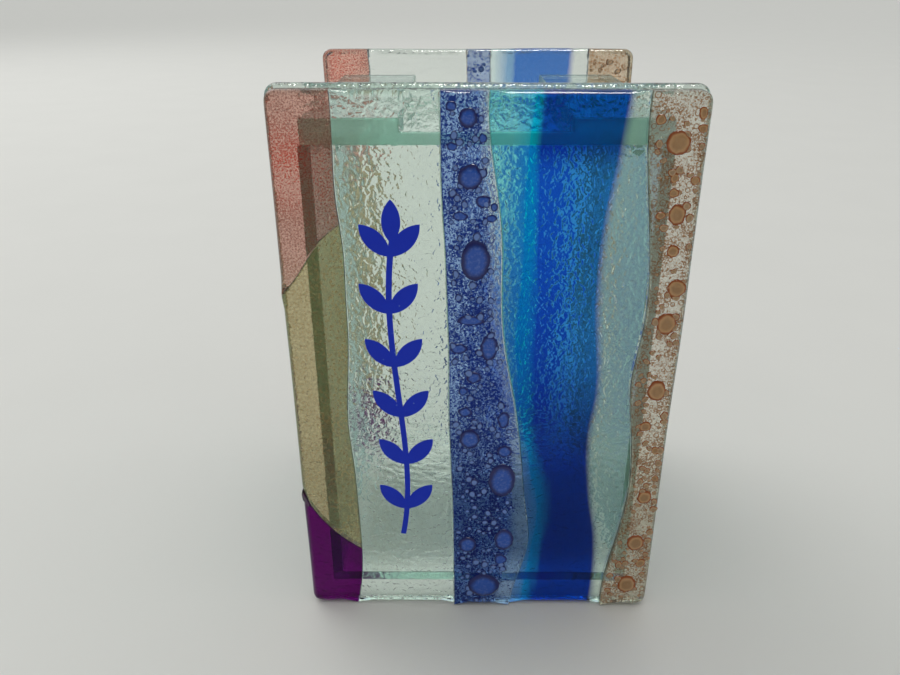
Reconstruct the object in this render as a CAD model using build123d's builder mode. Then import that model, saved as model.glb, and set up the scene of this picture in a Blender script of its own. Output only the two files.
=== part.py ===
"""A glass coin box: two decorated fused-glass panels stand front and rear, and between them
a smaller box of clear plate glass carries a lift-off lid with a coin slot.

X runs to the right, Y away from the viewer and Z up. The origin is on the surface that the
panels stand on, at the middle of the box. All sizes are in millimetres.
"""

import os

from build123d import *

# Overall sizes
panel_width = 102.0
panel_height = 152.0
body_depth = 82.0  # between the inner faces of the two panels

# Glass
sheet = 3.2  # one layer of fusing glass
plate = 3.2  # side walls and floor
bubble_rise = 1.0  # how far a bubble strip stands above the strips beside it
corner_radius = 3.0  # of a panel, seen from the front
strip_chamfer = 0.5  # softened outer edge of a strip
polish = 0.8  # rounding that the kiln gives a base sheet's edges and the lid's
seam = 0.1  # groove between two strips that lie side by side
edge_inset = 0.4  # from a panel's edge to the ends and sides of its strips
top_inset = 1.0  # the same at the panel's top
plate_chamfer = 0.3  # ground edge of a plate

# Where the body hangs between the panels
side_overhang = 6.5  # a panel's edge past the side walls
floor_gap = 6.0  # under the floor
lid_recess = 7.8  # from the panels' top down to the lid's top

# Lid
lid_side_gap = 0.5  # a lid end inside a side wall's outer face
lid_panel_gap = 0.5  # between the lid and each panel
slot_length = 40.5
slot_width = 6.0
locator_gap = 0.6  # between a locator and its side wall
locator_height = 5.0
locator_length = 50.0

# Enamel sprig on the clear strip of the front panel
enamel = 0.15
stem_width = 1.5
leaf_length = 11.0
leaf_width = 4.6
leaf_pairs = 6
leaf_angle = 42.0  # between a leaf and the stem
sprig_bottom = 27.0
sprig_top = 118.0
sprig_centre = -22.2
sprig_sway = 1.6

# Edges between strips, at even steps from a panel's bottom to its top. The first is measured
# from the panel's left edge, the next two from its middle and the last from its right edge.
front_edges = {
    "left": (14.2, 16.0, 16.4, 16.2, 15.8, 14.8, 15.2, 16.1, 16.3, 16.4, 15.3, 15.4, 15.2),
    "bubble_left": (-7.5, -7.7, -7.8, -7.8, -8.1, -8.6, -8.9, -9.0, -9.4, -9.7, -10.4, -10.7, -10.7),
    "bubble_right": (9.2, 11.6, 14.0, 12.6, 11.5, 10.0, 7.8, 5.4, 4.4, 4.3, 3.0, 0.9, 0.5),
    "right": (14.0, 13.5, 11.4, 9.6, 9.2, 10.4, 11.8, 10.7, 10.0, 10.9, 12.5, 14.0, 14.1),
}
rear_edges = {
    "left": (15.6, 15.0, 14.4, 15.2, 16.0, 15.4, 14.8, 15.6, 16.2, 15.4, 14.6, 14.8, 14.6),
    "bubble_left": (-3.0, -2.6, -3.2, -3.8, -3.4, -2.8, -3.0, -3.6, -4.0, -3.6, -3.2, -3.4, -3.4),
    "bubble_right": (6.4, 6.0, 5.2, 4.8, 5.4, 6.2, 6.0, 5.2, 4.6, 4.2, 4.6, 4.4, 4.4),
    "right": (13.0, 12.4, 11.4, 10.8, 11.6, 12.8, 13.4, 12.6, 11.8, 12.4, 13.6, 14.2, 14.3),
}
# Edges across the left column: distance from the panel's left edge, share of its height
red_to_cream = ((-3, 0.64), (0, 0.665), (5, 0.705), (10, 0.755), (15, 0.785), (22, 0.81))
cream_to_purple = ((-3, 0.32), (0, 0.28), (3, 0.237), (7, 0.197), (11, 0.168), (15, 0.146), (22, 0.12))

# What follows from the sizes above
panel_inner = body_depth / 2
layer_start = panel_inner + sheet
body_width = panel_width - 2 * side_overhang
wall_x = (body_width - plate) / 2
floor_top = floor_gap + plate
lid_bottom = panel_height - lid_recess - 2 * sheet
wall_height = lid_bottom - floor_top
lid_width = body_width - 2 * lid_side_gap
lid_depth = body_depth - 2 * lid_panel_gap
lid_strip_depth = (lid_depth - slot_width) / 2
lid_block_length = (lid_width - slot_length) / 2
front, rear = 1, -1


def save(name, part):
    """Labels a finished piece and writes it under that name."""
    part.label = name
    export_step(part, f"parts/{name}.step")


def panel_plane(side, distance):
    """The upright plane that lies this far out from the middle, on the front or rear side."""
    return Plane.XZ.offset(side * distance)


def upright(offsets, from_x, shift):
    """Points up a panel, one for each offset, from its bottom edge to its top edge."""
    steps = len(offsets) - 1
    return [(from_x + x + shift, panel_height * i / steps) for i, x in enumerate(offsets)]


def across(shares, shift):
    """Points across the left column, from outside the panel to past the column's far edge."""
    return [(x - panel_width / 2, share * panel_height + shift) for x, share in shares]


def edge_points(edges, name, shift):
    """Points of one edge between two strips, moved to one side by half a seam."""
    if name == "left":
        return upright(edges[name], -panel_width / 2, shift)
    if name == "right":
        return upright([-x for x in edges[name]], panel_width / 2, shift)
    return upright(edges[name], 0, shift)


def between(first, second):
    """The face between two open edges, whose ends are joined by straight lines."""
    with BuildSketch() as band:
        with BuildLine():
            one = Spline(*first)
            two = Spline(*second)
            Line(one @ 0, two @ 0)
            Line(one @ 1, two @ 1)
        make_face()
    return band.sketch


def build_strip(name, side, left, right, below=None, above=None, thickness=sheet):
    """Builds one strip of a panel's upper layer, between two upright edges and, in the left
    column, between two edges that run across."""
    outside = panel_width / 2 + seam
    far = panel_height + seam
    straight_left = [(-outside, -seam), (-outside, far)]
    straight_right = [(outside, -seam), (outside, far)]
    across_end = [(-outside, -seam), (outside, -seam)]
    across_top = [(-outside, far), (outside, far)]
    with BuildPart() as strip:
        with BuildSketch(panel_plane(side, layer_start)):
            with Locations((0, (panel_height + edge_inset - top_inset) / 2)):
                RectangleRounded(
                    panel_width - 2 * edge_inset,
                    panel_height - edge_inset - top_inset,
                    corner_radius - edge_inset,
                )
            add(between(left or straight_left, right or straight_right), mode=Mode.INTERSECT)
            if below or above:
                add(between(below or across_end, above or across_top), mode=Mode.INTERSECT)
        extrude(amount=side * thickness)
        outer = strip.faces().sort_by(Axis.Y)[0 if side == front else -1]
        chamfer(outer.edges(), strip_chamfer)
    save(name, strip.part)


def build_base_sheet(name, side):
    """Builds the clear sheet that a panel's strips are fused onto."""
    with BuildPart() as base_sheet:
        with BuildSketch(panel_plane(side, panel_inner)):
            with Locations((0, panel_height / 2)):
                RectangleRounded(panel_width, panel_height, corner_radius)
        extrude(amount=side * sheet)
        faces = base_sheet.faces().sort_by(Axis.Y)
        fillet(faces[0].edges() + faces[-1].edges(), polish)
    save(name, base_sheet.part)


def build_panel(place, side, edges):
    """Builds one fused panel: its base sheet and the strips side by side on it."""
    half = seam / 2
    build_base_sheet(f"{place}_base_sheet", side)
    column = edge_points(edges, "left", -half)
    build_strip(f"{place}_red_strip", side, None, column, below=across(red_to_cream, half))
    build_strip(
        f"{place}_cream_strip", side, None, column,
        below=across(cream_to_purple, half), above=across(red_to_cream, -half),
    )
    build_strip(f"{place}_purple_strip", side, None, column, above=across(cream_to_purple, -half))
    build_strip(
        f"{place}_clear_strip", side,
        edge_points(edges, "left", half), edge_points(edges, "bubble_left", -half),
    )
    build_strip(
        f"{place}_blue_bubble_strip", side,
        edge_points(edges, "bubble_left", half), edge_points(edges, "bubble_right", -half),
        thickness=sheet + bubble_rise,
    )
    build_strip(
        f"{place}_streaky_strip", side,
        edge_points(edges, "bubble_right", half), edge_points(edges, "right", -half),
    )
    build_strip(
        f"{place}_copper_bubble_strip", side,
        edge_points(edges, "right", half), None,
        thickness=sheet + bubble_rise,
    )


def build_sprig():
    """Builds the enamel sprig: a swaying stem with leaves in pairs and one at its tip."""
    height = sprig_top - sprig_bottom
    sways = (0, 1, 0, -1, 0)
    stem_points = [
        (sprig_centre + sprig_sway * sway, sprig_bottom + height * i / (len(sways) - 1))
        for i, sway in enumerate(sways)
    ]
    with BuildSketch() as leaf:
        with BuildLine():
            ThreePointArc((0, 0), (leaf_length / 2, leaf_width / 2), (leaf_length, 0))
            ThreePointArc((leaf_length, 0), (leaf_length / 2, -leaf_width / 2), (0, 0))
        make_face()
    with BuildPart() as sprig:
        with BuildSketch(panel_plane(front, layer_start + sheet)):
            with BuildLine() as stem:
                Spline(*stem_points)
            trace(stem.edges(), line_width=stem_width)
            line = stem.edges()[0]
            places = []
            for pair in range(leaf_pairs):
                at = line @ ((pair + 0.6) / leaf_pairs)
                places += [Location((at.X, at.Y), 90 + turn) for turn in (leaf_angle, -leaf_angle)]
            tip = line @ 0.97
            places.append(Location((tip.X, tip.Y), 90))
            with Locations(*places):
                add(leaf.sketch)
        extrude(amount=enamel)
    save("front_enamel_sprig", sprig.part)


def build_plate(name, centre, length, depth, height):
    """Builds one plate of clear glass with ground edges."""
    with BuildPart() as glass_plate:
        with Locations(centre):
            Box(length, depth, height)
        chamfer(glass_plate.edges(), plate_chamfer)
    save(name, glass_plate.part)


def build_body():
    """Builds the floor and the two side walls that stand on it."""
    build_plate("floor_plate", (0, 0, floor_gap + plate / 2), body_width, body_depth, plate)
    wall_z = floor_top + wall_height / 2
    build_plate("left_wall", (-wall_x, 0, wall_z), plate, body_depth, wall_height)
    build_plate("right_wall", (wall_x, 0, wall_z), plate, body_depth, wall_height)


def build_lid_piece(name, centre, length, depth, height):
    """Builds one fused piece of the lid, with kiln-rounded edges."""
    with BuildPart() as lid_piece:
        with Locations(centre):
            Box(length, depth, height)
        fillet(lid_piece.edges(), polish)
    save(name, lid_piece.part)


def build_lid():
    """Builds the lid. Two long strips leave the slot between them, the two blocks on top bridge
    them and end the slot, and the two locators below keep the lid between the side walls."""
    strip_y = (slot_width + lid_strip_depth) / 2
    strip_z = lid_bottom + sheet / 2
    build_lid_piece("lid_front_strip", (0, -strip_y, strip_z), lid_width, lid_strip_depth, sheet)
    build_lid_piece("lid_rear_strip", (0, strip_y, strip_z), lid_width, lid_strip_depth, sheet)
    block_x = (slot_length + lid_block_length) / 2
    block_z = strip_z + sheet
    build_lid_piece("lid_left_block", (-block_x, 0, block_z), lid_block_length, lid_depth, sheet)
    build_lid_piece("lid_right_block", (block_x, 0, block_z), lid_block_length, lid_depth, sheet)
    locator_x = wall_x - plate / 2 - locator_gap - sheet / 2
    locator_z = lid_bottom - locator_height / 2
    for name, x in (("lid_left_locator", -locator_x), ("lid_right_locator", locator_x)):
        build_lid_piece(name, (x, 0, locator_z), sheet, locator_length, locator_height)


os.makedirs("parts", exist_ok=True)
build_panel("front", front, front_edges)
build_sprig()
build_panel("rear", rear, rear_edges)
build_body()
build_lid()
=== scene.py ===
"""Looks of a fused-glass coin box: two decorated panels, a clear glass body and a loose lid.

Everything is in metres in the row frame: X right, Y away from the viewer, Z up, with the
origin on the table under the middle of the box. Sizes below that end in _mm are millimetres.
"""

import logging
import math
from dataclasses import dataclass, replace
from enum import Enum

import bmesh
import bpy
from mathutils import Matrix, Vector, geometry, noise

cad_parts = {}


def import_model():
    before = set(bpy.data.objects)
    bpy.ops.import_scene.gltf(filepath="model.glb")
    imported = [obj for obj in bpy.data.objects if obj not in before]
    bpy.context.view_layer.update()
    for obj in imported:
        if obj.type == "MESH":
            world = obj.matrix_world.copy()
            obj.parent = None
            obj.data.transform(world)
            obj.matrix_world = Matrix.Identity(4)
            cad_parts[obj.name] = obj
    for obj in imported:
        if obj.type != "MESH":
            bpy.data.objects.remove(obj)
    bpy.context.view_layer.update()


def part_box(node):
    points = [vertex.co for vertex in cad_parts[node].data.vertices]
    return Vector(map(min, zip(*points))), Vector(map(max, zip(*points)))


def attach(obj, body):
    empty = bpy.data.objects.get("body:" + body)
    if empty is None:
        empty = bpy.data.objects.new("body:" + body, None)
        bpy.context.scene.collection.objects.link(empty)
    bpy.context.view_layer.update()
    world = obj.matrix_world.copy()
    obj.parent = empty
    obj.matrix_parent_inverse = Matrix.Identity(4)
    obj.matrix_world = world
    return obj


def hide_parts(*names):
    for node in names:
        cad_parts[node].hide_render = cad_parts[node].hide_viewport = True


log = logging.getLogger("coin_box")
MM = 0.001
CURVE_SPAN_MM = 120.0  # the width that a float curve's 0 to 1 stands for
COVERAGE_REACH = 0.35  # how far the noise's threshold moves between no grains and all grains
MERGE_DISTANCE = 2e-6
FLAT_TOLERANCE = 2e-5
SHARP_COSINE = 0.8  # an outline that turns by more than about 37 degrees has a corner
LONG_WAVES = 18.0  # waves per metre in a melted edge
SHORT_WAVES = 26.0
Colour = tuple[float, float, float, float]
Point = tuple[float, float]
Place = tuple[float, float, float]
Bubble = tuple[float, float, float, float]


class Side(Enum):
    """Which panel, as the sign of the Y direction its decorated face looks along."""

    FRONT = -1
    REAR = 1

    @property
    def word(self) -> str:
        """The word that begins the names of this panel's nodes."""
        return self.name.lower()


class Axis(Enum):
    """The axis that a plate's thickness runs along, as an index into a point."""

    X = 0
    Y = 1
    Z = 2


def srgb(value: str, alpha: float = 1.0) -> Colour:
    """Turns a colour such as "#3FA0C0" into linear light.

    Args:
        value: sRGB colour in hexadecimal.
        alpha: opacity, kept as it is.

    Returns:
        The linear red, green, blue and alpha.
    """
    parts = [int(value[i : i + 2], 16) / 255 for i in (1, 3, 5)]
    linear = [c / 12.92 if c <= 0.04045 else ((c + 0.055) / 1.055) ** 2.4 for c in parts]
    return (*linear, alpha)


def per_metre(size_mm: float) -> float:
    """The texture scale at which one cell or wave is this many millimetres."""
    return 1000.0 / size_mm


def add_node(tree: bpy.types.NodeTree, kind: str, settings: dict | None = None,
             inputs: dict | None = None) -> bpy.types.Node:
    """Adds a node with its settings and its links.

    Args:
        tree: the node tree to add to.
        kind: the node's type name.
        settings: attributes to set. "stops" fills a colour ramp with (place, colour) pairs and
            "points" fills a float curve with (x, y) pairs.
        inputs: value, node or output socket for each input, by its name or its index.

    Returns:
        The new node.
    """
    made = tree.nodes.new(kind)
    for key, value in (settings or {}).items():
        if key == "stops":
            ramp = made.color_ramp
            while len(ramp.elements) < len(value):
                ramp.elements.new(0.5)
            for element, (place, colour) in zip(ramp.elements, value):
                element.position = place
                element.color = colour
        elif key == "points":
            curve = made.mapping.curves[0]
            while len(curve.points) < len(value):
                curve.points.new(0.5, 0.5)
            for point, place in zip(curve.points, value):
                point.location = place
            made.mapping.update()
        else:
            setattr(made, key, value)
    for key, value in (inputs or {}).items():
        socket = made.inputs[key] if isinstance(key, int) else next(
            s for s in made.inputs if s.name == key and s.enabled)
        if isinstance(value, bpy.types.Node):
            value = next(s for s in value.outputs if s.enabled)
        if isinstance(value, bpy.types.NodeSocket):
            tree.links.new(value, socket)
        else:
            socket.default_value = value
    return made


def new_material(name: str) -> tuple[bpy.types.Material, bpy.types.NodeTree]:
    """Makes a node material with nothing in it.

    Args:
        name: the material's name.

    Returns:
        The material and its empty tree.
    """
    material = bpy.data.materials.new(name)
    material.use_nodes = True
    material.node_tree.nodes.clear()
    return material, material.node_tree


def flat_place(tree: bpy.types.NodeTree) -> tuple[bpy.types.Node, bpy.types.Node]:
    """Adds the nodes that give a place on an upright panel.

    Args:
        tree: the material's tree.

    Returns:
        The separated X, Y, Z, and a vector that holds (X, Z, 0) for patterns in the panel's plane.
    """
    coords = add_node(tree, "ShaderNodeTexCoord")
    split = add_node(tree, "ShaderNodeSeparateXYZ", None, {0: coords.outputs["Object"]})
    flat = add_node(tree, "ShaderNodeCombineXYZ", None,
                    {"X": split.outputs["X"], "Y": split.outputs["Z"]})
    return split, flat


def edge_line(tree: bpy.types.NodeTree, split: bpy.types.Node,
              line: tuple[Point, ...], height_mm: float) -> bpy.types.Node:
    """Adds the nodes that say how far a place lies to the right of a wavy upright line.

    Args:
        tree: the material's tree.
        split: the separated object coordinates, in metres.
        line: (height, x) points up the line, in millimetres.
        height_mm: the panel's height, which the curve covers.

    Returns:
        A node whose value is the distance in millimetres, positive to the right.
    """
    share = add_node(tree, "ShaderNodeMath", {"operation": "MULTIPLY"},
                     {0: split.outputs["Z"], 1: per_metre(height_mm)})
    points = [(z / height_mm, 0.5 + x / CURVE_SPAN_MM) for z, x in line]
    curve = add_node(tree, "ShaderNodeFloatCurve", {"points": points}, {"Value": share})
    line_x = add_node(tree, "ShaderNodeMath", {"operation": "MULTIPLY_ADD"},
                      {0: curve, 1: CURVE_SPAN_MM, 2: -CURVE_SPAN_MM / 2})
    here = add_node(tree, "ShaderNodeMath", {"operation": "MULTIPLY"},
                    {0: split.outputs["X"], 1: per_metre(1)})
    return add_node(tree, "ShaderNodeMath", {"operation": "SUBTRACT"}, {0: here, 1: line_x})


# ---------------------------------------------------------------------------------- finishes


@dataclass(frozen=True)
class FloatGlass:
    """Soda-lime float glass with ground edges: almost clear through a face and green along it.

    Its body colour only shows over a long path, such as along a plate, and the faces that carry
    the "ground" mark are as rough as the wheel left them.
    """

    name: str = "float_glass_ground"
    face: str = "#FBFEFC"
    body: str = "#9CDACA"
    depth_per_m: float = 11.0
    polished: float = 0.02
    ground: float = 0.38
    wave_mm: float = 30.0
    wave_depth: float = 0.00006

    def build(self) -> bpy.types.Material:
        """Makes the material: clear glass with a green body.

        Returns:
            The material, for closed meshes only.
        """
        material, tree = new_material(self.name)
        coords = add_node(tree, "ShaderNodeTexCoord")
        # Sheet is never quite flat, which bends straight lines a little.
        wave = add_node(tree, "ShaderNodeTexNoise", None, {
            "Vector": coords.outputs["Object"], "Scale": per_metre(self.wave_mm), "Detail": 1.0})
        bump = add_node(tree, "ShaderNodeBump", None,
                        {"Height": wave, "Strength": 1.0, "Distance": self.wave_depth})
        edge = add_node(tree, "ShaderNodeAttribute", {"attribute_name": "ground"})
        roughness = add_node(tree, "ShaderNodeMapRange", None, {
            "Value": edge.outputs["Fac"], "To Min": self.polished, "To Max": self.ground})
        shader = add_node(tree, "ShaderNodeBsdfPrincipled", None, {
            "Base Color": srgb(self.face), "Roughness": roughness, "IOR": 1.52,
            "Transmission Weight": 1.0, "Normal": bump})
        volume = add_node(tree, "ShaderNodeVolumeAbsorption", None,
                          {"Color": srgb(self.body), "Density": self.depth_per_m})
        add_node(tree, "ShaderNodeOutputMaterial", None, {"Surface": shader, "Volume": volume})
        return material


@dataclass(frozen=True)
class FusedContact:
    """Where two layers have melted into one: there is no surface left to see."""

    name: str = "fused_contact"

    def build(self) -> bpy.types.Material:
        """Makes the material, which light passes through without bending.

        Returns:
            The material.
        """
        material, tree = new_material(self.name)
        shader = add_node(tree, "ShaderNodeBsdfTransparent", None, {"Color": (1.0, 1.0, 1.0, 1.0)})
        add_node(tree, "ShaderNodeOutputMaterial", None, {"Surface": shader})
        return material


@dataclass(frozen=True)
class RippledGlass:
    """Clear fusing glass, rolled: its small hammered ripples break up what is behind it."""

    name: str = "rippled_fusing_glass"
    tint: str = "#E6F2EC"
    crease: str = "#93A89D"
    edge: str = "#8FA69B"
    ripple_mm: float = 1.5
    ripple_depth: float = 0.0002
    flat_share: float = 0.45
    flat_edge: float = 0.14
    crease_share: float = 0.05

    def build(self) -> bpy.types.Material:
        """Makes the material from the ripples' height and from how steep they are.

        Returns:
            The material.
        """
        material, tree = new_material(self.name)
        coords = add_node(tree, "ShaderNodeTexCoord")
        place = coords.outputs["Object"]
        swells = add_node(tree, "ShaderNodeTexNoise", None, {
            "Vector": place, "Scale": per_metre(self.ripple_mm), "Detail": 1.4, "Roughness": 0.5,
            "Distortion": 0.3})
        # The roller's pattern is small flats with steep sides, which draw thin squiggles.
        flats = add_node(tree, "ShaderNodeMapRange", {"interpolation_type": "SMOOTHSTEP"}, {
            "Value": swells.outputs[0], "From Min": 0.5 - self.flat_edge, "From Max": 0.5 + self.flat_edge})
        height = add_node(tree, "ShaderNodeMath", {"operation": "MULTIPLY_ADD"},
                          {0: flats, 1: self.flat_share, 2: swells.outputs[0]})
        bump = add_node(tree, "ShaderNodeBump", None,
                        {"Height": height, "Strength": 1.0, "Distance": self.ripple_depth})
        # Painted shade: each ripple's side is tinted darker where it is steepest, halfway up, for the light
        # that it bends away.
        middle = add_node(tree, "ShaderNodeMath", {"operation": "SUBTRACT"}, {0: flats, 1: 0.5})
        off = add_node(tree, "ShaderNodeMath", {"operation": "ABSOLUTE"}, {0: middle})
        steep = add_node(tree, "ShaderNodeMapRange", None,
                         {"Value": off, "From Min": 0.42, "From Max": 0.1, "To Max": self.crease_share})
        crease_shaded = add_node(tree, "ShaderNodeMix", {"data_type": "RGBA"},
                           {"Factor": steep, "A": srgb(self.tint), "B": srgb(self.crease)})
        # Painted shade: the sheet's rounded rim is tinted a darker grey-green, for the darker surroundings
        # that the rim bends in.
        edge = add_node(tree, "ShaderNodeAttribute", {"attribute_name": "edge"})
        colour = add_node(tree, "ShaderNodeMix", {"data_type": "RGBA"},
                          {"Factor": edge.outputs["Fac"], "A": crease_shaded, "B": srgb(self.edge)})
        shader = add_node(tree, "ShaderNodeBsdfPrincipled", None, {
            "Base Color": colour, "Roughness": 0.02, "IOR": 1.5,
            "Transmission Weight": 1.0, "Normal": bump})
        add_node(tree, "ShaderNodeOutputMaterial", None, {"Surface": shader})
        return material


@dataclass(frozen=True)
class FusedGlass:
    """Fusing glass, fire-polished in the kiln: clear colour, soft waves and a bright melted rim."""

    name: str = "fused_glass"
    tint: str = "#EEF6F1"
    edge: str = "#C0D0C8"
    flat_shine: str = "#707070"
    rim_shine: str = "#FFFFFF"
    roughness: float = 0.04
    long_wave_mm: float = 14.0
    short_wave_mm: float = 3.0
    short_share: float = 0.12
    wave_depth: float = 0.0006

    def colour(self, tree: bpy.types.NodeTree, split: bpy.types.Node,
               flat: bpy.types.Node) -> tuple[object, object]:
        """Gives the strip's colour and how much light passes, as sockets, nodes or values."""
        return srgb(self.tint), 1.0

    def relief(self, tree: bpy.types.NodeTree, flat: bpy.types.Node) -> bpy.types.Node:
        """Adds the soft waves that a kiln leaves on the face.

        Args:
            tree: the material's tree.
            flat: the place in the panel's plane.

        Returns:
            A node whose value is the waves' height.
        """
        long_wave = add_node(tree, "ShaderNodeTexNoise", {"noise_dimensions": "2D"},
                             {"Vector": flat, "Scale": per_metre(self.long_wave_mm), "Detail": 1.0})
        short_wave = add_node(tree, "ShaderNodeTexNoise", {"noise_dimensions": "2D"},
                              {"Vector": flat, "Scale": per_metre(self.short_wave_mm), "Detail": 1.0})
        return add_node(tree, "ShaderNodeMath", {"operation": "MULTIPLY_ADD"},
                        {0: short_wave.outputs[0], 1: self.short_share, 2: long_wave.outputs[0]})

    def build(self) -> bpy.types.Material:
        """Makes the material from the strip's colour and relief.

        Returns:
            The material.
        """
        material, tree = new_material(self.name)
        split, flat = flat_place(tree)
        colour, passes = self.colour(tree, split, flat)
        bump = add_node(tree, "ShaderNodeBump", None,
                        {"Height": self.relief(tree, flat), "Strength": 0.35, "Distance": self.wave_depth})
        edge = add_node(tree, "ShaderNodeAttribute", {"attribute_name": "edge"})
        # Painted shade: the rounded rim is darkened by the edge colour, for the darker surroundings that it
        # bends in.
        rim_shaded = add_node(tree, "ShaderNodeMix", {"data_type": "RGBA", "blend_type": "MULTIPLY"},
                            {"Factor": edge.outputs["Fac"], "A": colour, "B": srgb(self.edge)})
        # The flat face mirrors little, and the fire-polished rim catches the lamps.
        shine = add_node(tree, "ShaderNodeMix", {"data_type": "RGBA"}, {
            "Factor": edge.outputs["Fac"], "A": srgb(self.flat_shine), "B": srgb(self.rim_shine)})
        shader = add_node(tree, "ShaderNodeBsdfPrincipled", None, {
            "Base Color": rim_shaded, "Roughness": self.roughness, "IOR": 1.5, "Specular Tint": shine,
            "Transmission Weight": passes, "Normal": bump})
        add_node(tree, "ShaderNodeOutputMaterial", None, {"Surface": shader})
        return material


@dataclass(frozen=True)
class FritGlass(FusedGlass):
    """Glass with fine crushed grains melted into it, which stipple it with half-opaque dots.

    A patch of stronger grains lies round one point, and below a height the grains thin out.
    """

    grain: str = "#B06A60"
    grain_mm: float = 0.35
    cloud_mm: float = 9.0
    cloud_share: float = 0.35
    coverage: float = 0.5
    patch: str = "#C24A36"
    patch_at: Point = (-46.0, 137.0)
    patch_mm: float = 0.0
    softness: float = 0.12
    solid: float = 0.8
    fade: str = "#FFFFFF"
    fade_share: float = 0.75
    fade_from_mm: float = -1.0
    fade_to_mm: float = -2.0

    def colour(self, tree: bpy.types.NodeTree, split: bpy.types.Node,
               flat: bpy.types.Node) -> tuple[object, object]:
        """Mixes the glass's tint with the grains, and with a patch of stronger grains.

        Args:
            tree: the material's tree.
            split: the separated object coordinates.
            flat: the place in the panel's plane.

        Returns:
            The colour and the share of light that passes.
        """
        grains = add_node(tree, "ShaderNodeTexNoise", {"noise_dimensions": "2D"}, {
            "Vector": flat, "Scale": per_metre(self.grain_mm * 2), "Detail": 1.0, "Roughness": 0.6})
        clouds = add_node(tree, "ShaderNodeTexNoise", {"noise_dimensions": "2D"},
                          {"Vector": flat, "Scale": per_metre(self.cloud_mm), "Detail": 3.0})
        summed = add_node(tree, "ShaderNodeMath", {"operation": "MULTIPLY_ADD"},
                          {0: clouds.outputs[0], 1: self.cloud_share, 2: grains.outputs[0]})
        middle = 0.5 + self.cloud_share / 2 + (0.5 - self.coverage) * COVERAGE_REACH
        mask = add_node(tree, "ShaderNodeMapRange", {"interpolation_type": "SMOOTHSTEP"}, {
            "Value": summed, "From Min": middle - self.softness, "From Max": middle + self.softness})
        away = add_node(tree, "ShaderNodeVectorMath", {"operation": "DISTANCE"},
                        {0: flat, 1: (self.patch_at[0] * MM, self.patch_at[1] * MM, 0.0)})
        # A patch of no width is switched off, and the added hair keeps its range from being empty.
        near = add_node(tree, "ShaderNodeMapRange", {"interpolation_type": "SMOOTHSTEP"}, {
            "Value": away.outputs["Value"], "From Min": self.patch_mm * MM + 1e-6, "From Max": 0.0,
            "To Max": 1.0 if self.patch_mm else 0.0})
        grain = add_node(tree, "ShaderNodeMix", {"data_type": "RGBA"},
                         {"Factor": near, "A": srgb(self.grain), "B": srgb(self.patch)})
        grained = add_node(tree, "ShaderNodeMix", {"data_type": "RGBA"},
                           {"Factor": mask, "A": srgb(self.tint), "B": grain})
        # The grains thin out towards the strip's foot, where paler glass shows.
        thinned = add_node(tree, "ShaderNodeMapRange", {"interpolation_type": "SMOOTHSTEP"}, {
            "Value": split.outputs["Z"], "From Min": self.fade_from_mm * MM,
            "From Max": self.fade_to_mm * MM, "To Max": self.fade_share})
        colour = add_node(tree, "ShaderNodeMix", {"data_type": "RGBA"},
                          {"Factor": thinned, "A": grained, "B": srgb(self.fade)})
        passes = add_node(tree, "ShaderNodeMath", {"operation": "MULTIPLY_ADD"},
                          {0: mask, 1: -self.solid, 2: 1.0})
        return colour, passes


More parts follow.
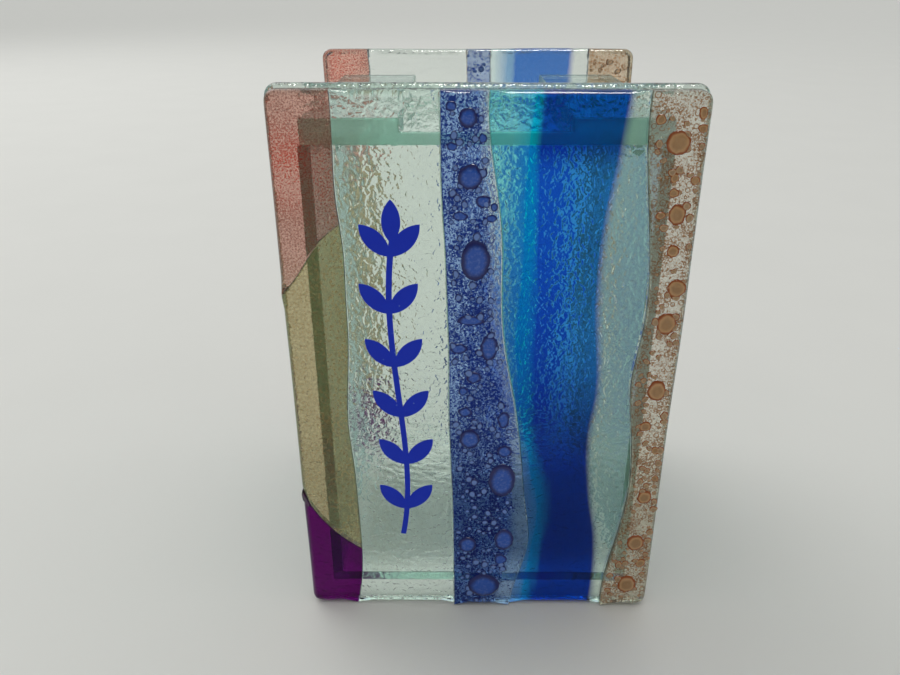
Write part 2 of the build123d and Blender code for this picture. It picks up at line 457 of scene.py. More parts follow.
@dataclass(frozen=True)
class BubbleGlass(FusedGlass):
    """Clear glass over a metal-salt layer that fizzed in the kiln: specks, rings and bubbles.

    The layer ends at the clear line, and is darkened with painted shade near the panel's foot.
    """

    speck: str = "#132C86"
    wash: str = "#8C9BD2"
    low: str = "#6C86B8"
    low_from_mm: float = 85.0
    low_to_mm: float = 40.0
    speck_mm: float = 0.3
    cloud_mm: float = 5.0
    cloud_share: float = 0.4
    ring_cell_mm: float = 1.9
    coverage: float = 0.55
    softness: float = 0.07
    solid: float = 0.85
    bare_drop: float = 0.2
    bare_wash: float = 0.25
    milky_share: float = 0.3
    clear_blend_mm: float = 2.0
    clear_line: tuple[Point, ...] = ((0.0, 60.0), (152.0, 60.0))
    height_mm: float = 152.0

    def colour(self, tree: bpy.types.NodeTree, split: bpy.types.Node,
               flat: bpy.types.Node) -> tuple[object, object]:
        """Mixes clear glass, a thin coloured wash and opaque specks, with rings round tiny bubbles.

        Args:
            tree: the material's tree.
            split: the separated object coordinates.
            flat: the place in the panel's plane.

        Returns:
            The colour and the share of light that passes.
        """
        specks = add_node(tree, "ShaderNodeTexNoise", {"noise_dimensions": "2D"},
                          {"Vector": flat, "Scale": per_metre(self.speck_mm * 2), "Detail": 2.0,
                           "Roughness": 0.65, "Distortion": 0.6})
        clouds = add_node(tree, "ShaderNodeTexNoise", {"noise_dimensions": "2D"},
                          {"Vector": flat, "Scale": per_metre(self.cloud_mm), "Detail": 2.0})
        right = edge_line(tree, split, self.clear_line, self.height_mm)
        bare = add_node(tree, "ShaderNodeMapRange", {"interpolation_type": "SMOOTHSTEP"}, {
            "Value": right, "From Min": -self.clear_blend_mm, "From Max": self.clear_blend_mm,
            "To Max": self.bare_drop})
        summed = add_node(tree, "ShaderNodeMath", {"operation": "MULTIPLY_ADD"},
                          {0: clouds.outputs[0], 1: self.cloud_share, 2: specks.outputs[0]})
        density = add_node(tree, "ShaderNodeMath", {"operation": "SUBTRACT"}, {0: summed, 1: bare})
        middle = 0.5 + self.cloud_share / 2 + (0.5 - self.coverage) * COVERAGE_REACH
        mask = add_node(tree, "ShaderNodeMapRange", {"interpolation_type": "SMOOTHSTEP"}, {
            "Value": density, "From Min": middle - self.softness, "From Max": middle + self.softness})
        # Tiny bubbles, one in a cell of about 2 mm: the ring is where the salt gathered.
        cells = add_node(tree, "ShaderNodeTexVoronoi", {"voronoi_dimensions": "2D"},
                         {"Vector": flat, "Scale": per_metre(self.ring_cell_mm), "Randomness": 0.9})
        size = add_node(tree, "ShaderNodeSeparateColor", None, {0: cells.outputs["Color"]})
        radius = add_node(tree, "ShaderNodeMapRange", None, {
            "Value": size.outputs[0], "From Min": 0.35, "To Min": 0.0, "To Max": 0.42})
        gap = add_node(tree, "ShaderNodeMath", {"operation": "SUBTRACT"},
                       {0: cells.outputs["Distance"], 1: radius})
        off = add_node(tree, "ShaderNodeMath", {"operation": "ABSOLUTE"}, {0: gap})
        ring = add_node(tree, "ShaderNodeMapRange", {"interpolation_type": "SMOOTHSTEP"},
                        {"Value": off, "From Min": 0.10, "From Max": 0.03})
        present = add_node(tree, "ShaderNodeMath", {"operation": "GREATER_THAN"}, {0: radius, 1: 0.12})
        shown = add_node(tree, "ShaderNodeMath", {"operation": "MULTIPLY"}, {0: ring, 1: present})
        covered = add_node(tree, "ShaderNodeMapRange", None, {
            "Value": bare, "From Max": self.bare_drop, "To Min": 1.0, "To Max": self.bare_wash})
        rings = add_node(tree, "ShaderNodeMath", {"operation": "MULTIPLY"}, {0: shown, 1: covered})
        dots = add_node(tree, "ShaderNodeMath", {"operation": "MAXIMUM"}, {0: mask, 1: rings})
        washed = add_node(tree, "ShaderNodeMix", {"data_type": "RGBA"},
                          {"Factor": covered, "A": srgb(self.tint), "B": srgb(self.wash)})
        speckled = add_node(tree, "ShaderNodeMix", {"data_type": "RGBA"},
                            {"Factor": dots, "A": washed, "B": srgb(self.speck)})
        # Painted shade: the layer's colour is darkened towards the strip's foot, where less light comes up
        # through it.
        painted_foot_shade = add_node(tree, "ShaderNodeMapRange", {"interpolation_type": "SMOOTHSTEP"}, {
            "Value": split.outputs["Z"], "From Min": self.low_from_mm * MM, "From Max": self.low_to_mm * MM})
        colour = add_node(tree, "ShaderNodeMix", {"data_type": "RGBA", "blend_type": "MULTIPLY"},
                          {"Factor": painted_foot_shade, "A": speckled, "B": srgb(self.low)})
        milky = add_node(tree, "ShaderNodeMapRange", None,
                         {"Value": covered, "From Min": self.bare_wash, "To Max": self.milky_share})
        opaque = add_node(tree, "ShaderNodeMath", {"operation": "MULTIPLY"}, {0: dots, 1: self.solid})
        stopped = add_node(tree, "ShaderNodeMath", {"operation": "MAXIMUM"}, {0: milky, 1: opaque})
        return colour, add_node(tree, "ShaderNodeMath", {"operation": "SUBTRACT"}, {0: 1.0, 1: stopped})


@dataclass(frozen=True)
class StreakyGlass(FusedGlass):
    """Hand-ladled streaky sheet: turquoise that turns azure, cobalt, and then clear.

    The streaks run along the strip. The first line is where azure turns cobalt, and the second
    is where the colour ends.
    """

    turquoise: str = "#62E4E8"
    azure: str = "#00DCFF"
    cobalt: str = "#0660F0"
    clear: str = "#D8E6DA"
    thick: str = "#805CB4"
    dense: str = "#0068AC"
    streak_mm: float = 6.0
    streak_reach_mm: float = 5.0
    drawn_out: float = 0.14
    blend_from_mm: float = -10.0
    blend_to_mm: float = 5.5
    clear_blend_mm: float = 1.3
    thick_from_mm: float = 98.0
    thick_to_mm: float = 48.0
    dense_from_mm: float = 131.0
    dense_to_mm: float = 139.0
    first_line: tuple[Point, ...] = ()
    second_line: tuple[Point, ...] = ()
    height_mm: float = 152.0

    def colour(self, tree: bpy.types.NodeTree, split: bpy.types.Node,
               flat: bpy.types.Node) -> tuple[object, object]:
        """Blends the four colours across the strip, with streaks drawn out along it.

        Args:
            tree: the material's tree.
            split: the separated object coordinates.
            flat: the place in the panel's plane.

        Returns:
            The colour and the share of light that passes.
        """
        stretched = add_node(tree, "ShaderNodeMapping", {"vector_type": "POINT"},
                             {"Vector": flat, "Scale": (1.0, self.drawn_out, 1.0)})
        streaks = add_node(tree, "ShaderNodeTexNoise", {"noise_dimensions": "2D"},
                           {"Vector": stretched, "Scale": per_metre(self.streak_mm), "Detail": 3.0})
        first = edge_line(tree, split, self.first_line, self.height_mm)
        second = edge_line(tree, split, self.second_line, self.height_mm)
        moved = add_node(tree, "ShaderNodeMath", {"operation": "MULTIPLY_ADD"},
                         {0: streaks.outputs[0], 1: self.streak_reach_mm, 2: first})
        share = add_node(tree, "ShaderNodeMapRange", None, {
            "Value": moved, "From Min": self.blend_from_mm, "From Max": self.blend_to_mm})
        ramp = add_node(tree, "ShaderNodeValToRGB", {"stops": [
            (0.0, srgb(self.turquoise)), (0.35, srgb(self.turquoise)), (0.62, srgb(self.azure)),
            (0.74, srgb(self.azure)), (0.86, srgb(self.cobalt))]}, {"Fac": share})
        # Painted shade: the streaks are darkened towards the foot of the sheet.
        low = add_node(tree, "ShaderNodeMapRange", {"interpolation_type": "SMOOTHSTEP"}, {
            "Value": split.outputs["Z"], "From Min": self.thick_from_mm * MM,
            "From Max": self.thick_to_mm * MM})
        deep = add_node(tree, "ShaderNodeMix", {"data_type": "RGBA", "blend_type": "MULTIPLY"},
                        {"Factor": low, "A": ramp.outputs["Color"], "B": srgb(self.thick)})
        # Painted shade: where the sheet is cobalt, it is darkened towards navy at both of its ends.
        high = add_node(tree, "ShaderNodeMapRange", {"interpolation_type": "SMOOTHSTEP"}, {
            "Value": split.outputs["Z"], "From Min": self.dense_from_mm * MM,
            "From Max": self.dense_to_mm * MM})
        ends = add_node(tree, "ShaderNodeMath", {"operation": "MAXIMUM"}, {0: low, 1: high})
        cobalt = add_node(tree, "ShaderNodeMapRange", {"interpolation_type": "SMOOTHSTEP"},
                          {"Value": share, "From Min": 0.6, "From Max": 0.86})
        end_shade_share = add_node(tree, "ShaderNodeMath", {"operation": "MULTIPLY"}, {0: ends, 1: cobalt})
        end_shaded = add_node(tree, "ShaderNodeMix", {"data_type": "RGBA", "blend_type": "MULTIPLY"},
                        {"Factor": end_shade_share, "A": deep, "B": srgb(self.dense)})
        fade = add_node(tree, "ShaderNodeMapRange", {"interpolation_type": "SMOOTHSTEP"}, {
            "Value": second, "From Min": -self.clear_blend_mm, "From Max": self.clear_blend_mm})
        colour = add_node(tree, "ShaderNodeMix", {"data_type": "RGBA"},
                          {"Factor": fade, "A": end_shaded, "B": srgb(self.clear)})
        return colour, 1.0


@dataclass(frozen=True)
class BubbleSkin:
    """The skin of a gas bubble just under the glass's face: a paler middle inside a rim darkened with
    painted shade.
    """

    name: str = "bubble_skin"
    rim: str = "#04125C"
    middle: str = "#2458BC"
    fleck: str = "#7898D8"
    thin: float = 0.15
    rim_shade_from: float = 0.5
    mottle_mm: float = 0.8
    small_share: float = 0.8

    def build(self) -> bpy.types.Material:
        """Makes the material from how far out on the bubble a place is.

        Returns:
            The material.
        """
        material, tree = new_material(self.name)
        coords = add_node(tree, "ShaderNodeTexCoord")
        out = add_node(tree, "ShaderNodeAttribute", {"attribute_name": "rim"})
        mottle = add_node(tree, "ShaderNodeTexNoise", None, {
            "Vector": coords.outputs["Object"], "Scale": per_metre(self.mottle_mm), "Detail": 3.0,
            "Roughness": 0.7})
        flecks = add_node(tree, "ShaderNodeMapRange", {"interpolation_type": "SMOOTHSTEP"},
                          {"Value": mottle.outputs[0], "From Min": 0.45, "From Max": 0.75, "To Max": 0.4})
        inner = add_node(tree, "ShaderNodeMix", {"data_type": "RGBA"},
                         {"Factor": flecks, "A": srgb(self.middle), "B": srgb(self.fleck)})
        # A small bubble's skin is thinner, so its middle is as pale as the flecks.
        small = add_node(tree, "ShaderNodeAttribute", {"attribute_name": "small"})
        thin = add_node(tree, "ShaderNodeMath", {"operation": "MULTIPLY"},
                        {0: small.outputs["Fac"], 1: self.small_share})
        pale = add_node(tree, "ShaderNodeMix", {"data_type": "RGBA"},
                        {"Factor": thin, "A": inner, "B": srgb(self.fleck)})
        # Painted shade: the bubble's outer part takes the dark rim colour, for the dark outline that a
        # bubble shows in glass.
        edge = add_node(tree, "ShaderNodeMapRange", {"interpolation_type": "SMOOTHSTEP"},
                        {"Value": out.outputs["Fac"], "From Min": self.rim_shade_from, "From Max": 0.9})
        colour = add_node(tree, "ShaderNodeMix", {"data_type": "RGBA"},
                          {"Factor": edge, "A": pale, "B": srgb(self.rim)})
        passes = add_node(tree, "ShaderNodeMapRange", {"interpolation_type": "SMOOTHSTEP"}, {
            "Value": out.outputs["Fac"], "From Min": 0.9, "From Max": 0.35, "To Max": self.thin})
        shader = add_node(tree, "ShaderNodeBsdfPrincipled", None, {
            "Base Color": colour, "Roughness": 0.06, "IOR": 1.5, "Transmission Weight": passes})
        add_node(tree, "ShaderNodeOutputMaterial", None, {"Surface": shader})
        return material


@dataclass(frozen=True)
class Enamel:
    """Fired glass enamel, printed on: flat, dense and slightly glossy, with a few pinholes."""

    name: str = "blue_fired_enamel"
    thick: str = "#0028BE"
    thin: str = "#0232CC"
    pinhole: str = "#5A78C8"
    pinhole_spacing_mm: float = 2.4
    tone_mm: float = 8.0

    def build(self) -> bpy.types.Material:
        """Makes the material: deep blue with pale pinholes about 0.3 mm across.

        Returns:
            The material.
        """
        material, tree = new_material(self.name)
        coords = add_node(tree, "ShaderNodeTexCoord")
        holes = add_node(tree, "ShaderNodeTexVoronoi", None,
                         {"Vector": coords.outputs["Object"], "Scale": per_metre(self.pinhole_spacing_mm)})
        dots = add_node(tree, "ShaderNodeMapRange", None,
                        {"Value": holes.outputs["Distance"], "From Min": 0.10, "From Max": 0.05})
        tone = add_node(tree, "ShaderNodeTexNoise", None, {
            "Vector": coords.outputs["Object"], "Scale": per_metre(self.tone_mm), "Detail": 2.0})
        base = add_node(tree, "ShaderNodeMix", {"data_type": "RGBA"},
                        {"Factor": tone.outputs[0], "A": srgb(self.thick), "B": srgb(self.thin)})
        colour = add_node(tree, "ShaderNodeMix", {"data_type": "RGBA"},
                          {"Factor": dots, "A": base, "B": srgb(self.pinhole)})
        grit = add_node(tree, "ShaderNodeBump", None,
                        {"Height": tone.outputs[0], "Strength": 0.2, "Distance": 0.0001})
        shader = add_node(tree, "ShaderNodeBsdfPrincipled", None, {
            "Base Color": colour, "Roughness": 0.28, "IOR": 1.5, "Specular IOR Level": 0.25, "Normal": grit})
        add_node(tree, "ShaderNodeOutputMaterial", None, {"Surface": shader})
        return material


@dataclass(frozen=True)
class TableTop:
    """Plain white laminate, pressed matt: an even white with the faintest mottle."""

    name: str = "white_laminate"
    light: str = "#E4E3DE"
    dark: str = "#E0DFDA"
    mottle_mm: float = 60.0

    def build(self) -> bpy.types.Material:
        """Makes the material of the surface that the box stands on.

        Returns:
            The material.
        """
        material, tree = new_material(self.name)
        coords = add_node(tree, "ShaderNodeTexCoord")
        mottle = add_node(tree, "ShaderNodeTexNoise", None, {
            "Vector": coords.outputs["Object"], "Scale": per_metre(self.mottle_mm), "Detail": 3.0})
        colour = add_node(tree, "ShaderNodeMix", {"data_type": "RGBA"},
                          {"Factor": mottle.outputs[0], "A": srgb(self.light), "B": srgb(self.dark)})
        shader = add_node(tree, "ShaderNodeBsdfPrincipled", None, {
            "Base Color": colour, "Roughness": 0.6, "Specular IOR Level": 0.2})
        add_node(tree, "ShaderNodeOutputMaterial", None, {"Surface": shader})
        return material


# ------------------------------------------------------------------------------ mesh building


def finish_piece(name: str, mesh: bmesh.types.BMesh,
                 materials: list[bpy.types.Material]) -> bpy.types.Object:
    """Turns a mesh in the row frame into an object at the origin.

    Args:
        name: the piece's name.
        mesh: its mesh, which is freed.
        materials: its materials, in the order of the faces' material numbers.

    Returns:
        The new object, in the scene.
    """
    data = bpy.data.meshes.new(name)
    mesh.to_mesh(data)
    mesh.free()
    piece = bpy.data.objects.new(name, data)
    for material in materials:
        data.materials.append(material)
    bpy.context.scene.collection.objects.link(piece)
    return piece


def hand_over(piece: bpy.types.Object, body: str, slot: str, *nodes: str) -> None:
    """Rides a finished piece on its body and hides the CAD nodes that it stands for.

    Args:
        piece: the piece.
        body: the body that it moves with.
        slot: the name of its finish; not used.
        nodes: the CAD nodes that it replaces.
    """
    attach(piece, body)
    if nodes:
        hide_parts(*nodes)
    log.info("%s: %d faces, on body %s", piece.name, len(piece.data.polygons), body)


def merged_copy(node: str) -> bmesh.types.BMesh:
    """Copies a CAD node's mesh and joins its loose triangles.

    Args:
        node: the CAD node's name.

    Returns:
        The copy, for the caller to free.
    """
    mesh = bmesh.new()
    mesh.from_mesh(bpy.data.objects[node].data)
    bmesh.ops.remove_doubles(mesh, verts=mesh.verts, dist=MERGE_DISTANCE)
    return mesh


def divided(corners: list[Vector], step: float) -> list[Vector]:
    """Puts points along the sides of a closed outline.

    Args:
        corners: the outline's corners in order.
        step: the longest distance between two points.

    Returns:
        The corners and the points between them, in order.
    """
    points = []
    for here, there in zip(corners, corners[1:] + corners[:1]):
        parts = max(1, math.ceil((there - here).length / step))
        points += [here.lerp(there, i / parts) for i in range(parts)]
    return points


def outline(node: str, plane_y: float, step: float) -> list[Vector]:
    """Reads the closed outline of a CAD node's flat face, as (x, z) in metres.

    Args:
        node: the CAD node's name.
        plane_y: where its flat face lies.
        step: the longest distance between two points of the outline.

    Returns:
        The points in order, anticlockwise as seen from the front.
    """
    mesh = merged_copy(node)
    flat = [f for f in mesh.faces if all(abs(v.co.y - plane_y) < FLAT_TOLERANCE for v in f.verts)]
    inside = set(flat)
    ahead = {}
    for face in flat:
        for loop in face.loops:
            if sum(f in inside for f in loop.edge.link_faces) == 1:
                ahead[loop.vert] = loop.link_loop_next.vert
    start = vertex = next(iter(ahead))
    corners = []
    while True:
        corners.append(Vector((vertex.co.x, vertex.co.z)))
        vertex = ahead[vertex]
        if vertex == start:
            break
    mesh.free()
    points = divided(corners, step)
    area = sum(a.x * b.y - b.x * a.y for a, b in zip(points, points[1:] + points[:1]))
    return points if area > 0 else points[::-1]


def outline_at(node: str, level: float, step: float) -> list[Vector]:
    """Cuts a CAD node with an upright plane and returns the outline of the cut.

    Args:
        node: the CAD node's name.
        level: the plane's Y.
        step: the longest distance between two points of the outline.

    Returns:
        The points as (x, z) in order, anticlockwise as seen from the front.
    """
    mesh = merged_copy(node)
    cut = bmesh.ops.bisect_plane(mesh, geom=mesh.verts[:] + mesh.edges[:] + mesh.faces[:],
                                 plane_co=(0, level, 0), plane_no=(0, 1, 0))["geom_cut"]
    corners = [Vector((v.co.x, v.co.z)) for v in cut if isinstance(v, bmesh.types.BMVert)]
    mesh.free()
    middle = Vector((0.0, 0.0))
    for corner in corners:
        middle += corner / len(corners)
    corners.sort(key=lambda p: math.atan2(p.y - middle.y, p.x - middle.x))
    return divided(corners, step)


def trios(points: list[Vector]) -> list[tuple[Vector, Vector, Vector]]:
    """Each point of a closed outline, between the one before it and the one after it."""
    return list(zip(points[-1:] + points[:-1], points, points[1:] + points[:1]))


def is_sharp(before: Vector, here: Vector, after: Vector) -> bool:
    """Whether an outline turns sharply at a point, as at a strip's tip."""
    return (here - before).normalized().dot((after - here).normalized()) < SHARP_COSINE


def smoothed(points: list[Vector], rounds: int = 6) -> list[Vector]:
    """Relaxes a closed outline so that its arcs run smooth, and leaves its sharp corners in place.

    Args:
        points: the outline.
        rounds: how many times each point moves towards the middle of its neighbours.

    Returns:
        The relaxed outline.
    """
    fixed = [is_sharp(*trio) for trio in trios(points)]
    for _ in range(rounds):
        points = [here.copy() if keep else before * 0.25 + here * 0.5 + after * 0.25
                  for (before, here, after), keep in zip(trios(points), fixed)]
    return points


def inward(points: list[Vector]) -> list[Vector]:
    """Finds the inward direction at each point of an anticlockwise outline.

    Args:
        points: the outline.

    Returns:
        One direction for each point, longer at a corner so that both its sides move in alike.
    """
    found = []
    for before, here, after in trios(points):
        one = (here - before).normalized()
        two = (after - here).normalized()
        first, second = Vector((-one.y, one.x)), Vector((-two.y, two.x))
        middle = (first + second).normalized()
        found.append(middle * min(1.5, 1 / max(0.4, middle.dot(first))))
    return found


def fill_ring(mesh: bmesh.types.BMesh, ring: list[bmesh.types.BMVert], number: int) -> None:
    """Closes an upright ring of vertices with triangles, whatever bends its outline has.

    Args:
        mesh: the mesh that the ring is in.
        ring: its vertices in order, all at one Y.
        number: the material number of the new faces.
    """
    flat = [Vector((vertex.co.x, vertex.co.z)) for vertex in ring]
    whole = [list(range(len(flat)))]
    places, _, triangles, origins, *_ = geometry.delaunay_2d_cdt(flat, [], whole, 1, 1e-8)
    corners = [ring[origin[0]] if origin else mesh.verts.new((place.x, ring[0].co.y, place.y))
               for place, origin in zip(places, origins)]
    for triangle in triangles:
        mesh.faces.new([corners[i] for i in triangle]).material_index = number


@dataclass
class Slab:
    """A flat glass piece on an upright plane, with rounded edges on one or both faces.

    The radii are one for each point, so an edge can be sharp along a seam and round at a rim.
    """

    points: list[Vector]
    back_y: float
    face_y: float
    face_radii: list[float]
    back_radii: list[float]
    steps: int = 5

    def rings(self) -> list[list[Vector]]:
        """Works out the rings of points from the back face to the front one.

        Returns:
            The rings in order, each with one place for each point of the outline.
        """
        ways = inward(self.points)
        sign = 1.0 if self.face_y > self.back_y else -1.0
        sides = ((self.back_radii, self.back_y, sign), (self.face_radii, self.face_y, -sign))
        rings = []
        for radii, start, toward in sides:
            half = []
            for i in range(self.steps + 1):
                turn = math.pi / 2 * i / self.steps
                ring = []
                for point, way, radius in zip(self.points, ways, radii):
                    flat = point + way * radius * (1 - math.sin(turn))
                    ring.append(Vector((flat.x, start + toward * radius * (1 - math.cos(turn)), flat.y)))
                half.append(ring)
            rings.append(half)
        return rings[0] + rings[1][::-1]

    def mesh(self, wall: int, back: int, face: int) -> bmesh.types.BMesh:
        """Builds the closed mesh.

        Args:
            wall: material number of the edges.
            back: material number of the back face.
            face: material number of the front face.

        Returns:
            The mesh, with its faces pointing outwards.
        """
        built = bmesh.new()
        edge = built.verts.layers.float.new("edge")
        rings = [[built.verts.new(co) for co in ring] for ring in self.rings()]
        for number, ring in enumerate(rings):
            for vertex in ring:
                vertex[edge] = min(number, len(rings) - 1 - number) / self.steps
        count = len(self.points)
        for low, high in zip(rings, rings[1:]):
            for i in range(count):
                quad = built.faces.new((low[i], low[(i + 1) % count], high[(i + 1) % count], high[i]))
                quad.material_index = wall
                quad.smooth = True
        for ring, number in ((rings[0], back), (rings[-1], face)):
            fill_ring(built, ring, number)
        bmesh.ops.recalc_face_normals(built, faces=built.faces)
        if built.calc_volume(signed=True) < 0:
            bmesh.ops.reverse_faces(built, faces=built.faces)
        return built


def wobble(mesh: bmesh.types.BMesh, seed: float, amount: float, keep_below: float) -> None:
    """Moves a panel's vertices a little in its own plane, as melted edges are never straight.

    Args:
        mesh: the mesh to change.
        seed: which pattern of waves.
        amount: the largest move, in metres.
        keep_below: height under which vertices keep their height, so that the foot stays flat.
    """
    for vertex in mesh.verts:
        x, z = vertex.co.x, vertex.co.z
        vertex.co.x += amount * noise.noise(Vector((x * LONG_WAVES, z * SHORT_WAVES, seed)))
        if z > keep_below:
            vertex.co.z += amount * noise.noise(Vector((x * SHORT_WAVES, z * LONG_WAVES, seed + 7)))


def cells_mesh(edges: tuple[list[float], list[float], list[float]],
               filled: set[tuple[int, int, int]]) -> bmesh.types.BMesh:
    """Builds the outside of a set of boxes that lie on one grid.

    Args:
        edges: the grid's places along X, Y and Z.
        filled: the filled boxes, by their number along X, Y and Z.

    Returns:
        A closed mesh.
    """
    built = bmesh.new()
    corners: dict[tuple[int, int, int], bmesh.types.BMVert] = {}

    def corner(key: tuple[int, int, int]) -> bmesh.types.BMVert:
        """Makes the vertex at a grid point, or finds it again.

        Args:
            key: the point's number along X, Y and Z.

        Returns:
            The vertex.
        """
        if key not in corners:
            corners[key] = built.verts.new([edges[k][key[k]] for k in range(3)])
        return corners[key]

    for cell in sorted(filled):
        for axis in range(3):
            for end in (0, 1):
                beyond = list(cell)
                beyond[axis] += 1 if end else -1
                if tuple(beyond) in filled:
                    continue
                one, two = (axis + 1) % 3, (axis + 2) % 3
                quad = []
                for a, b in ((0, 0), (1, 0), (1, 1), (0, 1)):
                    key = list(cell)
                    key[axis] += end
                    key[one] += a
                    key[two] += b
                    quad.append(corner(tuple(key)))
                built.faces.new(quad if end else quad[::-1])
    return built


def soften(piece: bpy.types.Object, width: float, segments: int) -> None:
    """Rounds a piece's edges with a bevel, and bakes it into its mesh.

    Args:
        piece: the piece.
        width: the bevel's width, in metres.
        segments: how many faces go round an edge.
    """
    bevel = piece.modifiers.new("softened", "BEVEL")
    bevel.width = width
    bevel.segments = segments
    bevel.limit_method = "ANGLE"
    bevel.harden_normals = True
    for polygon in piece.data.polygons:
        polygon.use_smooth = True
    graph = bpy.context.evaluated_depsgraph_get()
    done = bpy.data.meshes.new_from_object(piece.evaluated_get(graph))
    piece.modifiers.clear()
    piece.data = done


def mark_ground(piece: bpy.types.Object, axis: Axis) -> None:
    """Marks the faces of a plate that were ground: all but the two that the axis crosses.

    Args:
        piece: the plate.
        axis: the axis that its thickness runs along.
    """
    marks = piece.data.attributes.new("ground", "FLOAT", "FACE")
    for polygon, mark in zip(piece.data.polygons, marks.data):
        mark.value = 0.0 if abs(polygon.normal[axis.value]) > 0.95 else 1.0


# ------------------------------------------------------------------------------------ bubbles


UNEVEN_MM = 1.2  # the noise's whole range, of which most places use about a tenth
LUMP_MM = 1.5
BUBBLE_SIDES = {"small": (12, 6), "large": (32, 14)}


def bubble_tree() -> bpy.types.NodeTree:
    """Builds the tree that puts bubbles on a strip.

    The input mesh has faces, over which small bubbles are scattered, and loose points with a
    "size" vector, each of which gets one bubble of that size.

    Returns:
        The geometry node tree, with inputs Spacing, Smallest, Largest, Height, Seed and Skin.
    """
    tree = bpy.data.node_groups.new("bubbles", "GeometryNodeTree")
    face = tree.interface
    face.new_socket("Geometry", in_out="INPUT", socket_type="NodeSocketGeometry")
    for name, default in (("Spacing", 0.002), ("Smallest", 0.0003), ("Largest", 0.001), ("Height", 0.3)):
        face.new_socket(name, in_out="INPUT", socket_type="NodeSocketFloat").default_value = default
    face.new_socket("Seed", in_out="INPUT", socket_type="NodeSocketInt")
    face.new_socket("Skin", in_out="INPUT", socket_type="NodeSocketMaterial")
    face.new_socket("Geometry", in_out="OUTPUT", socket_type="NodeSocketGeometry")
    given = add_node(tree, "NodeGroupInput")
    mesh, seed, high = given.outputs["Geometry"], given.outputs["Seed"], given.outputs["Height"]
    spots = add_node(tree, "GeometryNodeDistributePointsOnFaces", {"distribute_method": "POISSON"}, {
        "Mesh": mesh, "Distance Min": given.outputs["Spacing"], "Density Max": 1e6, "Seed": seed})
    # The power makes most of the bubbles small, as they are in a kiln.
    chance = add_node(tree, "FunctionNodeRandomValue", {"data_type": "FLOAT"}, {"Seed": seed})
    skewed = add_node(tree, "ShaderNodeMath", {"operation": "POWER"}, {0: chance, 1: 2.4})
    radius = add_node(tree, "ShaderNodeMapRange", None, {
        "Value": skewed, "To Min": given.outputs["Smallest"], "To Max": given.outputs["Largest"]})
    squat = add_node(tree, "FunctionNodeRandomValue", {"data_type": "FLOAT"},
                     {"Min": 0.7, "Max": 1.25, "Seed": 5})
    tall = add_node(tree, "ShaderNodeMath", {"operation": "MULTIPLY"}, {0: radius, 1: squat})
    deep = add_node(tree, "ShaderNodeMath", {"operation": "MULTIPLY"}, {0: radius, 1: high})
    scale = add_node(tree, "ShaderNodeCombineXYZ", None, {"X": radius, "Y": deep, "Z": tall})
    turn = add_node(tree, "FunctionNodeRandomValue", {"data_type": "FLOAT"},
                    {"Min": -0.6, "Max": 0.6, "Seed": 9})
    turned = add_node(tree, "ShaderNodeCombineXYZ", None, {"Y": turn})
    # Each ball carries how far out on it a place is, and whether it is a small one.
    shapes = {}
    for kind, (segments, rings) in BUBBLE_SIDES.items():
        ball = add_node(tree, "GeometryNodeMeshUVSphere", None,
                        {"Segments": segments, "Rings": rings, "Radius": 1.0})
        place = add_node(tree, "GeometryNodeInputPosition")
        flat = add_node(tree, "ShaderNodeVectorMath", {"operation": "MULTIPLY"},
                        {0: place, 1: (1.0, 1.0, 0.0)})
        out = add_node(tree, "ShaderNodeVectorMath", {"operation": "LENGTH"}, {0: flat})
        marked = add_node(tree, "GeometryNodeStoreNamedAttribute", {"data_type": "FLOAT", "domain": "POINT"},
                          {"Geometry": ball, "Name": "rim", "Value": out.outputs["Value"]})
        sized = add_node(tree, "GeometryNodeStoreNamedAttribute", {"data_type": "FLOAT", "domain": "POINT"},
                         {"Geometry": marked, "Name": "small", "Value": 1.0 if kind == "small" else 0.0})
        shapes[kind] = add_node(tree, "GeometryNodeTransform", None,
                                {"Geometry": sized, "Rotation": (math.pi / 2, 0.0, 0.0)})
    small = add_node(tree, "GeometryNodeInstanceOnPoints", None,
                     {"Points": spots, "Instance": shapes["small"], "Rotation": turned, "Scale": scale})
    size = add_node(tree, "GeometryNodeInputNamedAttribute", {"data_type": "FLOAT_VECTOR"}, {"Name": "size"})
    length = add_node(tree, "ShaderNodeVectorMath", {"operation": "LENGTH"}, {0: size})
    chosen = add_node(tree, "FunctionNodeCompare", {"data_type": "FLOAT", "operation": "GREATER_THAN"},
                      {"A": length.outputs["Value"], "B": 1e-6})
    loose = add_node(tree, "GeometryNodeMeshToPoints", None, {"Mesh": mesh, "Selection": chosen})
    large = add_node(tree, "GeometryNodeInstanceOnPoints", None,
                     {"Points": loose, "Instance": shapes["large"], "Scale": size})
    joined = add_node(tree, "GeometryNodeJoinGeometry")
    tree.links.new(small.outputs[0], joined.inputs[0])
    tree.links.new(large.outputs[0], joined.inputs[0])
    solid = add_node(tree, "GeometryNodeRealizeInstances", None, {0: joined})
    # No gas bubble is quite round: its outline wanders by about a tenth of a millimetre.
    lumps = add_node(tree, "ShaderNodeTexNoise", None,
                     {"Scale": per_metre(LUMP_MM), "Detail": 2.0, "Roughness": 0.6})
    centred = add_node(tree, "ShaderNodeVectorMath", {"operation": "SUBTRACT"},
                       {0: lumps.outputs["Color"], 1: (0.5, 0.5, 0.5)})
    shift = add_node(tree, "ShaderNodeVectorMath", {"operation": "MULTIPLY"},
                     {0: centred, 1: (UNEVEN_MM * MM, 0.0, UNEVEN_MM * MM)})
    uneven = add_node(tree, "GeometryNodeSetPosition", None, {"Geometry": solid, "Offset": shift})
    smooth = add_node(tree, "GeometryNodeSetShadeSmooth", None, {0: uneven})
    dressed = add_node(tree, "GeometryNodeSetMaterial", None,
                       {"Geometry": smooth, "Material": given.outputs["Skin"]})
    add_node(tree, "NodeGroupOutput", None, {0: dressed})
    return tree


